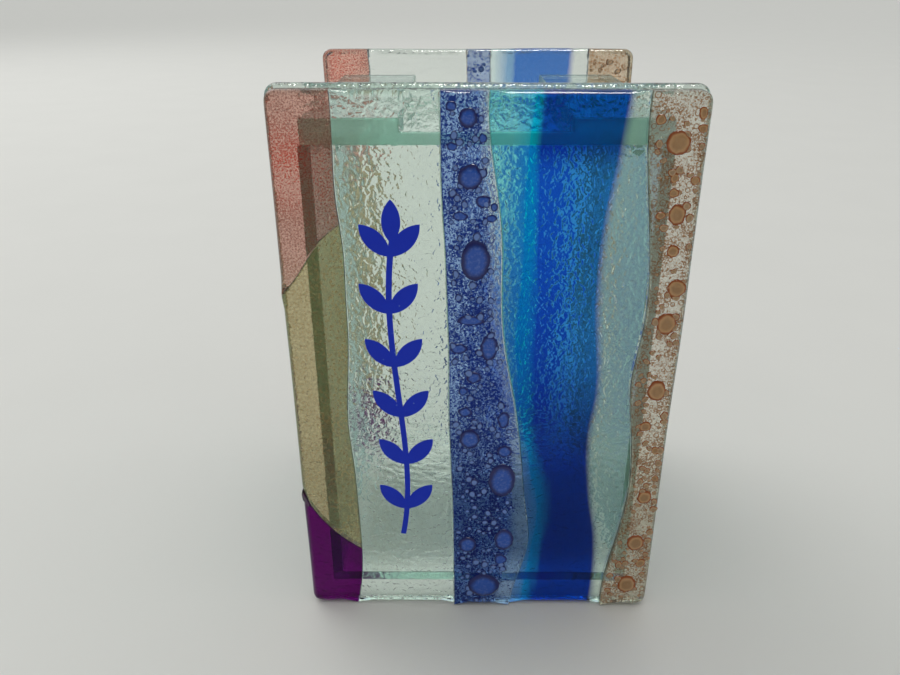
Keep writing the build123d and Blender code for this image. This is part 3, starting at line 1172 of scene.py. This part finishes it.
@dataclass
class BubbleField:
    """The bubbles of one strip: large ones at stated places, and small ones scattered.

    A large bubble is its x and z, its width and its height, in millimetres. The margins keep the
    small ones off the strip's rounded edges.
    """

    name: str
    face_y: float
    points: list[Vector]
    large: tuple[Bubble, ...]
    clear_line: tuple[Point, ...]
    skin: bpy.types.Material
    seed: int
    spacing_mm: float = 1.6
    smallest_mm: float = 0.2
    largest_mm: float = 1.15
    height: float = 0.3
    large_height: float = 0.21
    cell_mm: float = 1.0
    foot_margin_mm: float = 1.5
    top_margin_mm: float = 3.0
    left_margin_mm: float = 1.2
    right_margin_mm: float = 1.4

    def limit(self, z: float) -> float:
        """Finds where the clear line runs.

        Args:
            z: a height, in metres.

        Returns:
            The line's x there, in metres.
        """
        line = self.clear_line
        for (low, x_low), (high, x_high) in zip(line, line[1:]):
            if z <= high * MM:
                share = max(0.0, (z / MM - low) / (high - low))
                return (x_low + (x_high - x_low) * share) * MM
        return line[-1][1] * MM

    def span(self, z: float) -> list[float]:
        """Finds where the strip's outline crosses a height.

        Args:
            z: the height, in metres.

        Returns:
            The x of each crossing, from left to right.
        """
        crossed = []
        for a, b in zip(self.points, self.points[1:] + self.points[:1]):
            if (a.y > z) != (b.y > z):
                crossed.append(a.x + (b.x - a.x) * (z - a.y) / (b.y - a.y))
        return sorted(crossed)

    def ground(self) -> bpy.types.Object:
        """Makes the mesh that the tree reads.

        Returns:
            A piece with cells to scatter over and with the large bubbles' points.
        """
        ground = bmesh.new()
        sizes = ground.verts.layers.float_vector.new("size")
        step = self.cell_mm * MM
        low = min(p.y for p in self.points) + self.foot_margin_mm * MM
        rows = int((max(p.y for p in self.points) - self.top_margin_mm * MM - low) / step)
        for row in range(rows):
            z = low + row * step
            ends = self.span(z + step / 2)
            if len(ends) < 2:
                continue
            left = ends[0] + self.left_margin_mm * MM
            right = min(ends[-1] - self.right_margin_mm * MM, self.limit(z))
            if right - left < step:
                continue
            corners = [(left, z), (right, z), (right, z + step), (left, z + step)]
            ground.faces.new([ground.verts.new((x, self.face_y, y)) for x, y in corners])
        for x, z, wide, tall in self.large:
            vertex = ground.verts.new((x * MM, self.face_y, z * MM))
            half = Vector((wide, 0.0, tall)) * MM / 2
            vertex[sizes] = (half.x, self.large_height * min(half.x, half.z), half.z)
        return finish_piece(self.name, ground, [])

    def build(self, tree: bpy.types.NodeTree) -> bpy.types.Object:
        """Runs the tree and keeps its result as a plain mesh.

        Args:
            tree: the bubble tree.

        Returns:
            The piece that holds all of this strip's bubbles.
        """
        piece = self.ground()
        modifier = piece.modifiers.new("bubbles", "NODES")
        modifier.node_group = tree
        values = {
            "Spacing": self.spacing_mm * MM, "Smallest": self.smallest_mm * MM,
            "Largest": self.largest_mm * MM, "Height": self.height, "Seed": self.seed, "Skin": self.skin}
        for item in tree.interface.items_tree:
            if item.in_out == "INPUT" and item.name in values:
                modifier[item.identifier] = values[item.name]
        graph = bpy.context.evaluated_depsgraph_get()
        done = bpy.data.meshes.new_from_object(piece.evaluated_get(graph))
        piece.modifiers.clear()
        piece.data = done
        return piece


# -------------------------------------------------------------------------------- the pieces


class StripKind(Enum):
    """The strips of a panel, by the end of their CAD names and by their finish slots."""

    RED = ("red_strip", "red_frit_glass")
    CREAM = ("cream_strip", "cream_glass")
    PURPLE = ("purple_strip", "purple_glass")
    CLEAR = ("clear_strip", "clear_strip_glass")
    BLUE = ("blue_bubble_strip", "blue_bubble_glass")
    STREAKY = ("streaky_strip", "streaky_blue_glass")
    COPPER = ("copper_bubble_strip", "copper_bubble_glass")

    @property
    def part(self) -> str:
        """The end of the CAD node's name."""
        return self.value[0]

    @property
    def slot(self) -> str:
        """The finish slot's name."""
        return self.value[1]


@dataclass(frozen=True)
class PanelLook:
    """What differs between the two panels: the strips' finishes, and their bubbles and skins."""

    finishes: dict[StripKind, FusedGlass]
    skins: dict[StripKind, BubbleSkin]
    bubbles: dict[StripKind, tuple[Bubble, ...]]
    seed: int


FRONT_FINISHES = {
    StripKind.RED: FritGlass(
        name="front_red_frit_glass", tint="#C47A6A", grain="#9E5A4C", grain_mm=0.22, coverage=0.5,
        softness=0.2, patch="#BC2C1A", patch_at=(-46.5, 134.0), patch_mm=15.0, solid=0.5,
        fade="#C6A284", fade_from_mm=116.0, fade_to_mm=90.0),
    StripKind.CREAM: FritGlass(
        name="front_cream_opal_glass", tint="#AC9864", grain="#AC9260", grain_mm=0.4, coverage=0.55,
        softness=0.4, solid=0.5),
    StripKind.PURPLE: FusedGlass(name="front_purple_cathedral_glass", tint="#2C002E"),
    StripKind.CLEAR: FusedGlass(name="front_clear_fusing_glass", tint="#F4FAF6"),
    StripKind.BLUE: BubbleGlass(
        name="front_blue_bubble_glass", tint="#E8F0F2", wash="#7AA2F4", speck="#132C86", coverage=0.52,
        clear_line=((0, 4), (10, 6), (20, 8.5), (40, 9), (60, 8), (80, 5), (95, 2.5), (115, 1.2),
                    (135, -0.4), (152, -1))),
    StripKind.STREAKY: StreakyGlass(
        name="front_streaky_blue_glass",
        first_line=((0, 15.5), (20, 17.8), (40, 18.8), (55, 16.5), (70, 14), (85, 12.4), (100, 12),
                    (120, 11.8), (152, 13.6)),
        second_line=((0, 34.2), (25, 34), (40, 31.5), (60, 29.8), (75, 31), (100, 29), (120, 29.3),
                     (135, 31.2), (152, 33))),
    StripKind.COPPER: BubbleGlass(
        name="front_copper_bubble_glass", tint="#F4F4EC", wash="#E0D8CA", speck="#946848", low="#FBF4E6",
        speck_mm=0.24, coverage=0.4, softness=0.12, solid=0.7),
}
# The rear panel is of the same kinds of glass, in paler tones.
REAR_FINISHES = {
    StripKind.RED: replace(
        FRONT_FINISHES[StripKind.RED], name="rear_red_frit_glass", tint="#EC927C", grain="#AC6A5C",
        patch="#E83A1C", patch_at=(-46.0, 149.0), patch_mm=14.0),
    StripKind.CREAM: replace(FRONT_FINISHES[StripKind.CREAM], name="rear_cream_opal_glass"),
    StripKind.PURPLE: replace(FRONT_FINISHES[StripKind.PURPLE], name="rear_purple_cathedral_glass"),
    StripKind.CLEAR: replace(FRONT_FINISHES[StripKind.CLEAR], name="rear_clear_fusing_glass"),
    StripKind.BLUE: BubbleGlass(
        name="rear_blue_bubble_glass", tint="#E8F0F2", wash="#A8C4FF", speck="#2A48B0", coverage=0.26),
    StripKind.STREAKY: StreakyGlass(
        name="rear_streaky_blue_glass", turquoise="#D8F6F8", azure="#5A94D6", cobalt="#1A4CC4",
        clear="#F0F8F2", thick="#C0B4DC", dense="#F4F8FC",
        first_line=((0, 12.0), (30, 12.8), (60, 11.4), (90, 13.0), (120, 12.4), (152, 12.6)),
        second_line=((0, 33.0), (30, 31.8), (60, 33.4), (90, 32.0), (120, 31.0), (152, 31.6))),
    StripKind.COPPER: replace(
        FRONT_FINISHES[StripKind.COPPER], name="rear_copper_bubble_glass", wash="#FFD8AE",
        speck="#C07C44", coverage=0.34),
}
FRONT_LOOK = PanelLook(
    finishes=FRONT_FINISHES,
    skins={
        StripKind.BLUE: BubbleSkin(name="blue_bubble_skin"),
        StripKind.COPPER: BubbleSkin(
            name="copper_bubble_skin", rim="#904414", middle="#C89A68", fleck="#CCAC86", thin=0.5,
            rim_shade_from=0.68)},
    bubbles={
        StripKind.BLUE: (
            (-4.4, 145.2, 4.4, 4.4), (-3.7, 131.8, 5.8, 6.0), (-2.3, 111.3, 7.0, 10.5),
            (-3.3, 95.3, 7.0, 2.6), (1.5, 87.7, 4.6, 7.4), (-6.2, 87.4, 4.4, 2.8),
            (-2.4, 79.0, 3.8, 3.4), (-5.2, 75.0, 2.4, 2.4), (-4.6, 68.6, 3.4, 3.0),
            (-3.2, 60.1, 5.6, 6.0), (5.7, 66.1, 3.2, 5.0), (6.3, 56.1, 3.8, 3.8),
            (5.9, 46.5, 7.4, 11.0), (7.0, 25.7, 5.4, 7.6), (-3.6, 23.7, 5.0, 5.5),
            (6.2, 18.2, 3.6, 4.0), (1.4, 8.3, 9.4, 8.6), (-8.2, 147.8, 2.6, 2.2),
            (-0.6, 126.0, 3.2, 3.0), (2.0, 124.6, 1.8, 2.0), (1.4, 121.9, 2.8, 1.8),
            (-6.0, 122.4, 3.6, 2.0), (-8.0, 138.9, 2.4, 2.0), (-1.0, 140.6, 1.8, 2.2)),
        StripKind.COPPER: (
            (43.4, 139.6, 5.6, 5.6), (45.2, 122.8, 4.0, 5.4), (45.3, 113.7, 3.2, 3.2),
            (47.4, 104.1, 4.8, 4.6), (46.0, 94.5, 5.0, 6.0), (45.8, 75.2, 4.8, 6.0),
            (43.9, 64.2, 3.4, 3.0), (47.5, 56.5, 2.4, 2.4), (48.4, 47.2, 2.0, 2.0),
            (46.1, 40.8, 4.0, 4.4), (45.3, 24.6, 5.0, 5.6), (47.5, 17.0, 2.8, 3.0),
            (44.2, 8.9, 5.6, 6.4), (38.9, 144.8, 2.6, 2.4), (48.2, 146.2, 1.8, 2.8),
            (48.6, 142.8, 2.0, 2.0), (43.6, 131.5, 2.0, 2.0), (48.3, 131.0, 2.2, 2.2),
            (43.9, 128.0, 2.6, 2.2), (41.2, 122.5, 2.4, 2.0))},
    seed=11,
)
REAR_LOOK = PanelLook(
    finishes=REAR_FINISHES,
    # Painted light: the rear skins are paler than the front ones, for the light that comes through the rear
    # panel from behind.
    skins={
        StripKind.BLUE: BubbleSkin(
            name="rear_blue_bubble_skin_painted_light", rim="#1C3C9C", middle="#5078D0", fleck="#7C9CE0", thin=0.9),
        StripKind.COPPER: BubbleSkin(
            name="rear_copper_bubble_skin_painted_light", rim="#C47C44", middle="#E6BC90", fleck="#F0DCC4", thin=0.9,
            rim_shade_from=0.68)},
    bubbles={
        StripKind.BLUE: (
            (1.0, 138.0, 4.0, 4.4), (0.4, 112.0, 5.2, 6.0), (1.4, 84.0, 4.6, 4.2),
            (0.2, 58.0, 5.0, 6.2), (1.2, 33.0, 4.4, 5.4), (2.0, 12.0, 5.4, 5.6)),
        StripKind.COPPER: (
            (44.0, 134.0, 4.6, 5.0), (46.4, 108.0, 4.2, 4.6), (43.8, 82.0, 5.0, 5.4),
            (46.8, 55.0, 4.2, 4.4), (45.0, 28.0, 5.0, 5.2), (43.6, 10.0, 4.6, 4.4))},
    seed=37,
)


@dataclass
class Panel:
    """One fused panel: a clear sheet rippled on its inner face, with coloured strips on it.

    A strip's face is rounded by the rim radius within the rim reach of the panel's own edge, and
    by the seam radius where it meets the next strip.
    """

    side: Side
    look: PanelLook
    contact: bpy.types.Material
    rippled: bpy.types.Material
    bubbles: bpy.types.NodeTree
    rim_radius_mm: float = 1.7
    rim_inset_mm: float = 0.4
    top_inset_mm: float = 1.0
    rim_slack_mm: float = 0.2
    rim_reach_mm: float = 2.2
    seam_radius_mm: float = 0.35
    base_radius_mm: float = 1.3
    air_mm: float = 0.05
    wobble_mm: float = 0.35
    foot_mm: float = 4.0
    step_mm: float = 0.6

    def name(self, part: str) -> str:
        """The CAD node's name of one part of this panel."""
        return f"{self.side.word}_{part}"

    def radii(self, points: list[Vector]) -> list[float]:
        """Works out the rounding of a strip's face along its outline.

        Args:
            points: the strip's outline.

        Returns:
            One radius for each point: large at the panel's rim and small at a seam or a sharp tip.
        """
        low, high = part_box(self.name("base_sheet"))
        inset, top = self.rim_inset_mm * MM, self.top_inset_mm * MM
        rim, seam = self.rim_radius_mm * MM, self.seam_radius_mm * MM
        found = []
        sharp = [here for before, here, after in trios(points) if is_sharp(before, here, after)]
        for point in points:
            away = min(point.x - (low.x + inset), high.x - inset - point.x,
                       point.y - (low.z + inset), high.z - top - point.y)
            reached = max(0.0, away - self.rim_slack_mm * MM) / (self.rim_reach_mm * MM)
            share = max(0.0, 1.0 - reached)
            wanted = seam + (rim - seam) * share * share * (3 - 2 * share)
            # Near a tip there is less room, so the rounding shrinks towards it.
            room = min(((point - corner).length for corner in sharp), default=1.0)
            found.append(min(wanted, 0.6 * seam + 0.35 * room))
        return found

    def add(self, name: str, mesh: bmesh.types.BMesh, materials: list[bpy.types.Material],
            slot: str, node: str) -> bpy.types.Object:
        """Wobbles a mesh with the rest of its panel and makes it a piece.

        Args:
            name: the piece's name.
            mesh: its mesh, which is freed.
            materials: its materials, in the order of the faces' material numbers.
            slot: the name of its finish.
            node: the CAD node that it replaces.

        Returns:
            The piece.
        """
        wobble(mesh, float(self.look.seed), self.wobble_mm * MM, self.foot_mm * MM)
        piece = finish_piece(name, mesh, materials)
        hand_over(piece, "box", slot, node)
        return piece

    def build_base(self) -> None:
        """Builds the base sheet, whose inner face is rippled and whose outer face is fused over."""
        low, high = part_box(self.name("base_sheet"))
        sign = self.side.value
        inner, outer = (low.y, high.y) if sign > 0 else (high.y, low.y)
        middle = (inner + outer) / 2
        points = smoothed(outline_at(self.name("base_sheet"), middle, self.step_mm * MM))
        radii = [self.base_radius_mm * MM] * len(points)
        slab = Slab(points, inner + sign * self.air_mm * MM, outer, radii, radii)
        mesh = slab.mesh(wall=0, back=0, face=1)
        self.add(self.name("base_glass"), mesh, [self.rippled, self.contact], "rippled_clear_glass",
                 self.name("base_sheet"))

    def build_strip(self, kind: StripKind) -> None:
        """Builds one strip from its CAD outline, and its bubbles if it has any.

        Args:
            kind: which strip.
        """
        node = self.name(kind.part)
        low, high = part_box(node)
        back, face = (low.y, high.y) if self.side.value > 0 else (high.y, low.y)
        points = smoothed(outline(node, back, self.step_mm * MM))
        slab = Slab(points, back, face, self.radii(points), [0.0] * len(points))
        finish = self.look.finishes[kind]
        piece = self.add(f"{node.replace('_strip', '')}_glass", slab.mesh(wall=0, back=1, face=0),
                         [finish.build(), self.contact], kind.slot, node)
        if kind in self.look.bubbles:
            self.build_bubbles(kind, points, face)
        log.info("%s is dressed in %s", piece.name, finish.name)

    def build_bubbles(self, kind: StripKind, points: list[Vector], face_y: float) -> None:
        """Builds the bubbles of a bubble strip.

        Args:
            kind: which strip.
            points: its outline.
            face_y: where its face lies.
        """
        bubble_field = BubbleField(
            name=self.name(kind.part.replace("_strip", "s")), face_y=face_y, points=points,
            large=self.look.bubbles[kind], clear_line=self.look.finishes[kind].clear_line,
            skin=self.look.skins[kind].build(), seed=self.look.seed + (1 if kind is StripKind.BLUE else 2))
        piece = bubble_field.build(self.bubbles)
        hand_over(piece, "box", kind.slot)

    def build(self) -> None:
        """Builds the whole panel."""
        self.build_base()
        for kind in StripKind:
            self.build_strip(kind)


@dataclass
class Body:
    """The floor and the side walls: float glass plates with ground edges."""

    floor_glass: bpy.types.Material
    wall_glass: bpy.types.Material
    air_mm: float = 0.05
    edge_mm: float = 0.3

    def plate(self, node: str, glass: bpy.types.Material, axis: Axis) -> None:
        """Builds one plate a hair smaller than its CAD node, so that a glued joint still shows.

        Args:
            node: the CAD node's name.
            glass: its material.
            axis: the axis that its thickness runs along.
        """
        low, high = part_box(node)
        shrink = Vector((1.0, 1.0, 1.0)) * self.air_mm * MM
        low, high = low + shrink, high - shrink
        mesh = cells_mesh(([low.x, high.x], [low.y, high.y], [low.z, high.z]), {(0, 0, 0)})
        piece = finish_piece(f"{node}_glass", mesh, [glass])
        soften(piece, self.edge_mm * MM, 2)
        mark_ground(piece, axis)
        hand_over(piece, "box", "clear_float_glass", node)

    def build(self) -> None:
        """Builds the three plates."""
        self.plate("floor_plate", self.floor_glass, Axis.Z)
        for node in ("left_wall", "right_wall"):
            self.plate(node, self.wall_glass, Axis.X)


@dataclass
class Lid:
    """The loose lid: two strips and two blocks melted into one piece, with two cleats below."""

    glass: bpy.types.Material
    edge_mm: float = 0.5
    air_mm: float = 0.05

    def build_plate(self) -> None:
        """Builds the fused lid as one closed piece round its slot."""
        front_low, front_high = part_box("lid_front_strip")
        rear_low, rear_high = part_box("lid_rear_strip")
        left_low, left_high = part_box("lid_left_block")
        right_low, right_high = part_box("lid_right_block")
        edges = ([left_low.x, left_high.x, right_low.x, right_high.x],
                 [front_low.y, front_high.y, rear_low.y, rear_high.y],
                 [front_low.z + self.air_mm * MM, front_high.z, left_high.z])
        lower = {(x, y, 0) for x in range(3) for y in (0, 2)}
        upper = {(x, y, 1) for x in (0, 2) for y in range(3)}
        piece = finish_piece("lid_glass", cells_mesh(edges, lower | upper), [self.glass])
        soften(piece, self.edge_mm * MM, 3)
        mark_ground(piece, Axis.Z)
        hand_over(piece, "lid", "clear_lid_glass",
                  "lid_front_strip", "lid_rear_strip", "lid_left_block", "lid_right_block")

    def build_locator(self, node: str) -> None:
        """Builds one cleat that keeps the lid between the side walls.

        Args:
            node: the CAD node's name.
        """
        low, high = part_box(node)
        edges = ([low.x, high.x], [low.y, high.y], [low.z, high.z])
        piece = finish_piece(f"{node}_glass", cells_mesh(edges, {(0, 0, 0)}), [self.glass])
        soften(piece, self.edge_mm * MM, 3)
        mark_ground(piece, Axis.X)
        hand_over(piece, "lid", "clear_lid_glass", node)

    def build(self) -> None:
        """Builds the lid and its cleats."""
        self.build_plate()
        for node in ("lid_left_locator", "lid_right_locator"):
            self.build_locator(node)


@dataclass(frozen=True)
class SoftBox:
    """A rectangular lamp, with its place, target and sides in metres and its power in watts.

    One that doesn't light matt surfaces still shows as a highlight on glass.
    """

    name: str
    place: Place
    target: Place
    size: Point
    power: float
    colour: str = "#FFFFFF"
    lights_matt: bool = True

    def hang(self) -> None:
        """Adds the lamp to the scene, pointing at its target."""
        data = bpy.data.lights.new(self.name, "AREA")
        data.shape = "RECTANGLE"
        data.size, data.size_y = self.size
        data.energy = self.power
        data.color = srgb(self.colour)[:3]
        lamp = bpy.data.objects.new(self.name, data)
        lamp.location = self.place
        way = Vector(self.target) - Vector(self.place)
        lamp.rotation_euler = way.to_track_quat("-Z", "Y").to_euler()
        lamp.visible_diffuse = self.lights_matt
        bpy.context.scene.collection.objects.link(lamp)


@dataclass
class Studio:
    """The table, the lights and the camera."""

    eye_mm: Place = (-7.2, -177.9, 174.8)
    pitch_deg: float = 25.44
    yaw_deg: float = 0.43
    roll_deg: float = -0.125
    sensor_mm: float = 36.0
    lens_mm: float = 30.768
    table_m: float = 14.0
    low_surround: str = "#8E908E"
    high_surround: str = "#F6F8F8"
    surround_light: float = 1.0
    screen_light: float = 0.6
    window: SoftBox = SoftBox("window", (-1.15, 0.95, 1.45), (-0.2, 0.1, 0.0), (1.4, 1.4), 8.5)
    # The ceiling strip only shows as a highlight on glass, along the strips' top edges.
    ceiling_strip: SoftBox = SoftBox("ceiling_strip", (0.1, -0.22, 0.95), (0.0, 0.0, 0.1), (0.24, 0.35),
                                     7.0, "#FFFDF8", lights_matt=False)
    glow_inset_mm: float = 7.0
    glow_gap_mm: float = 0.4
    glow_size: Point = (0.085, 0.012)
    glow_power: float = 0.0018
    glass_bounces: int = 32
    matt_bounces: int = 3

    def camera(self) -> None:
        """Places the camera, measured from the middle of the front panel's face at table level."""
        face_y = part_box("front_streaky_strip")[0].y
        pitch, yaw, roll = (math.radians(a) for a in (self.pitch_deg, self.yaw_deg, self.roll_deg))
        ahead = Vector((-math.sin(yaw) * math.cos(pitch), math.cos(yaw) * math.cos(pitch), -math.sin(pitch)))
        across = Vector((math.cos(yaw), math.sin(yaw), 0.0))
        upward = across.cross(ahead)
        right = across * math.cos(roll) + upward * math.sin(roll)
        top = upward * math.cos(roll) - across * math.sin(roll)
        data = bpy.data.cameras.new("camera")
        data.sensor_width = self.sensor_mm
        data.lens = self.lens_mm
        data.clip_start = 0.01
        made = bpy.data.objects.new("camera", data)
        turn = Matrix((right, top, -ahead)).transposed().to_4x4()
        eye = Vector(self.eye_mm) * MM + Vector((0.0, face_y, 0.0))
        made.matrix_world = Matrix.Translation(eye) @ turn
        bpy.context.scene.collection.objects.link(made)
        bpy.context.scene.camera = made

    def table(self) -> None:
        """Makes the pale table top."""
        mesh = bmesh.new()
        half = self.table_m / 2
        corners = ((-1, -1), (1, -1), (1, 1), (-1, 1))
        mesh.faces.new([mesh.verts.new((x * half, y * half, 0.0)) for x, y in corners])
        piece = finish_piece("table", mesh, [TableTop().build()])

    def surround(self) -> None:
        """Makes the soft white surround, darker low and in front, with a lit screen behind the box."""
        world = bpy.data.worlds.new("soft_surround")
        world.use_nodes = True
        tree = world.node_tree
        tree.nodes.clear()
        coords = add_node(tree, "ShaderNodeTexCoord")
        split = add_node(tree, "ShaderNodeSeparateXYZ", None, {0: coords.outputs["Generated"]})
        rise = add_node(tree, "ShaderNodeMapRange", {"interpolation_type": "SMOOTHSTEP"},
                        {"Value": split.outputs["Z"], "From Min": 0.0, "From Max": 0.6})
        back = add_node(tree, "ShaderNodeMapRange", {"interpolation_type": "SMOOTHSTEP"},
                        {"Value": split.outputs["Y"], "From Min": -0.7, "From Max": 0.5, "To Min": 0.3})
        level = add_node(tree, "ShaderNodeMath", {"operation": "MULTIPLY"}, {0: back, 1: rise})
        tone = add_node(tree, "ShaderNodeMix", {"data_type": "RGBA"},
                        {"Factor": level, "A": srgb(self.low_surround), "B": srgb(self.high_surround)})
        behind = add_node(tree, "ShaderNodeMapRange", {"interpolation_type": "SMOOTHSTEP"},
                          {"Value": split.outputs["Y"], "From Min": 0.6, "From Max": 0.9})
        below = add_node(tree, "ShaderNodeMapRange", {"interpolation_type": "SMOOTHSTEP"},
                         {"Value": split.outputs["Z"], "From Min": 0.55, "From Max": 0.25})
        screen = add_node(tree, "ShaderNodeMath", {"operation": "MULTIPLY"}, {0: behind, 1: below})
        power = add_node(tree, "ShaderNodeMath", {"operation": "MULTIPLY_ADD"},
                         {0: screen, 1: self.screen_light, 2: self.surround_light})
        glow = add_node(tree, "ShaderNodeBackground", None, {"Color": tone, "Strength": power})
        add_node(tree, "ShaderNodeOutputWorld", None, {"Surface": glow})
        bpy.context.scene.world = world

    def light(self) -> None:
        """Hangs the window, the ceiling strip, and a glow under the foot of each panel."""
        self.window.hang()
        # The panels pass light down to their feet, which the two glows under the floor plate stand for.
        low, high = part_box("floor_plate")
        inset, z = self.glow_inset_mm * MM, low.z - self.glow_gap_mm * MM
        for name, y in (("front_foot_glow", low.y + inset), ("rear_foot_glow", high.y - inset)):
            SoftBox(name, (0.0, y, z), (0.0, y, 0.0), self.glow_size, self.glow_power).hang()
        self.ceiling_strip.hang()

    def tracing(self) -> None:
        """Lets light pass through the many layers of glass, and shows colours plainly."""
        scene = bpy.context.scene
        scene.cycles.max_bounces = self.glass_bounces
        scene.cycles.transmission_bounces = self.glass_bounces
        scene.cycles.transparent_max_bounces = self.glass_bounces
        scene.cycles.glossy_bounces = self.glass_bounces
        scene.cycles.diffuse_bounces = self.matt_bounces
        scene.cycles.sample_clamp_indirect = 6.0
        scene.cycles.use_denoising = True
        scene.view_settings.view_transform = "Standard"

    def build(self) -> None:
        """Sets up the whole studio."""
        self.camera()
        self.table()
        self.surround()
        self.light()
        self.tracing()


def dress_sprig() -> None:
    """Gives the enamel sprig, whose CAD shape is right, its fired enamel."""
    sprig = bpy.data.objects["front_enamel_sprig"]
    sprig.data.materials.clear()
    sprig.data.materials.append(Enamel().build())
    log.info("%s is dressed in enamel", sprig.name)


def main() -> None:
    """Builds the coin box round the CAD frame."""
    logging.basicConfig(level=logging.INFO, format="%(name)s: %(message)s")
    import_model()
    Studio().build()
    contact = FusedContact().build()
    tree = bubble_tree()
    Panel(Side.FRONT, FRONT_LOOK, contact, RippledGlass().build(), tree).build()
    dress_sprig()
    # The rear sheet's ripples are shallower, carry no painted shade, and only soften what is behind it.
    softer = RippledGlass(name="softly_rippled_fusing_glass", tint="#F4FAF7", ripple_depth=0.00007,
                          crease_share=0.0)
    Panel(Side.REAR, REAR_LOOK, contact, softer.build(), tree).build()
    # Fine rolled waves frost the walls a little. The floor's edge is nearly polished, and shows
    # as a green band.
    walls = FloatGlass(name="rolled_wall_glass", face="#C4E8E8", polished=0.22, wave_mm=1.4,
                       wave_depth=0.00003)
    Body(FloatGlass(depth_per_m=12.0, ground=0.08).build(), walls.build()).build()
    # The lid's layers were fused, which leaves its faces duller and its ends deeper green.
    Lid(FloatGlass(name="float_glass_fused", depth_per_m=25.0, polished=0.05).build()).build()


if __name__ == "__main__":
    main()
